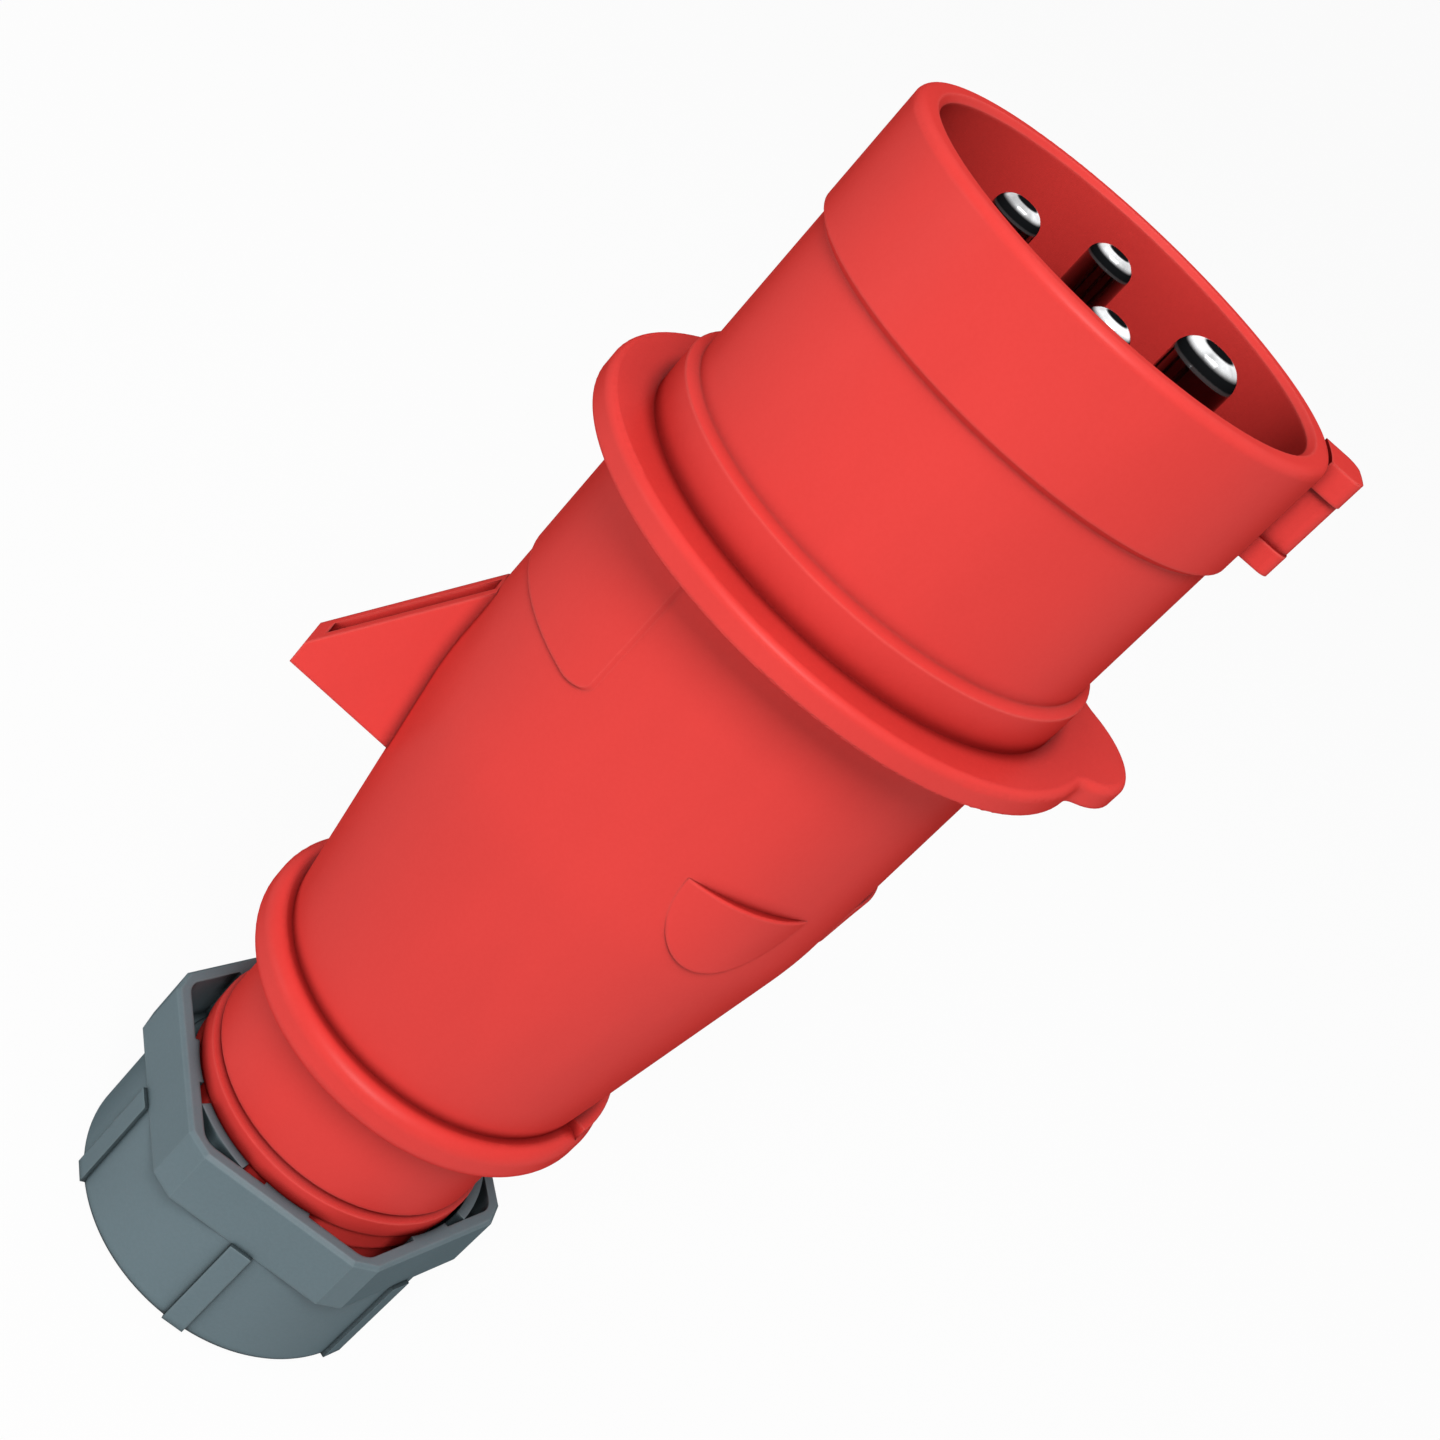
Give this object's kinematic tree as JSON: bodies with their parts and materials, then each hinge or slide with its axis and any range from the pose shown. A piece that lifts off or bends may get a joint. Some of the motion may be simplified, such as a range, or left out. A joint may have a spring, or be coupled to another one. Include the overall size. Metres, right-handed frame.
{
  "type": "industrial pin and sleeve plug",
  "caption": "Industrial pin and sleeve plug with a round keyed sleeve, contact pins, flange, tapered grip with a catch fin, and a cable gland with a clamping nut.",
  "frame": {"origin": "centre of the end face of the gland nut, on which the plug stands, at the mouth of the cable hole", "axes": "+Z along the plug's axis, out of the sleeve's mouth; -Y towards the key and the earth pin; +Y towards the catch fin"},
  "size_m": [0.0612, 0.0712, 0.1525],
  "materials": {
    "red_plastic": "satin moulded plastic",
    "grey_plastic": "satin moulded plastic",
    "inner_plastic": "moulded insulating plastic",
    "insert_plastic": "moulded insulating plastic, dark red",
    "nickel": "polished nickel plate on brass",
    "steel": "zinc-plated steel",
    "seal_rubber": "soft rubber"
  },
  "bodies": {
    "grip": {"grip_housing": "red_plastic", "cable_seal": "seal_rubber"},
    "front": {"sleeve_shell": "red_plastic", "housing_seal": "seal_rubber", "contact_carrier": "insert_plastic", "terminal_carrier": "inner_plastic", "pin_earth": "nickel", "wire_clamp_earth": "steel", "terminal_screw_earth": "steel", "pin_l1": "nickel", "wire_clamp_l1": "steel", "terminal_screw_l1": "steel", "pin_l2": "nickel", "wire_clamp_l2": "steel", "terminal_screw_l2": "steel", "pin_l3": "nickel", "wire_clamp_l3": "steel", "terminal_screw_l3": "steel", "carrier_screw_1": "steel", "carrier_screw_2": "steel"},
    "clamp": {"pressure_ring": "inner_plastic", "slip_washer": "inner_plastic"},
    "nut": {"gland_nut": "grey_plastic"}
  },
  "joints": [
    {"name": "front_twist", "type": "hinge", "parent": "grip", "child": "front", "pos_m": [0, 0, 0.1], "axis": [0, 0, 1], "range_deg": [0, 30]},
    {"name": "clamp_travel", "type": "slide", "parent": "grip", "child": "clamp", "axis": [0, 0, 1], "range_m": [0, 0.0045]},
    {"name": "nut_turn", "type": "hinge", "parent": "clamp", "child": "nut", "pos_m": [0, 0, 0.01], "axis": [0, 0, 1], "range_deg": [0, 540]}
  ],
  "couplings": [
    {"joint": "nut_turn", "follows": "clamp_travel", "rad_per_m": 2094.4}
  ]
}
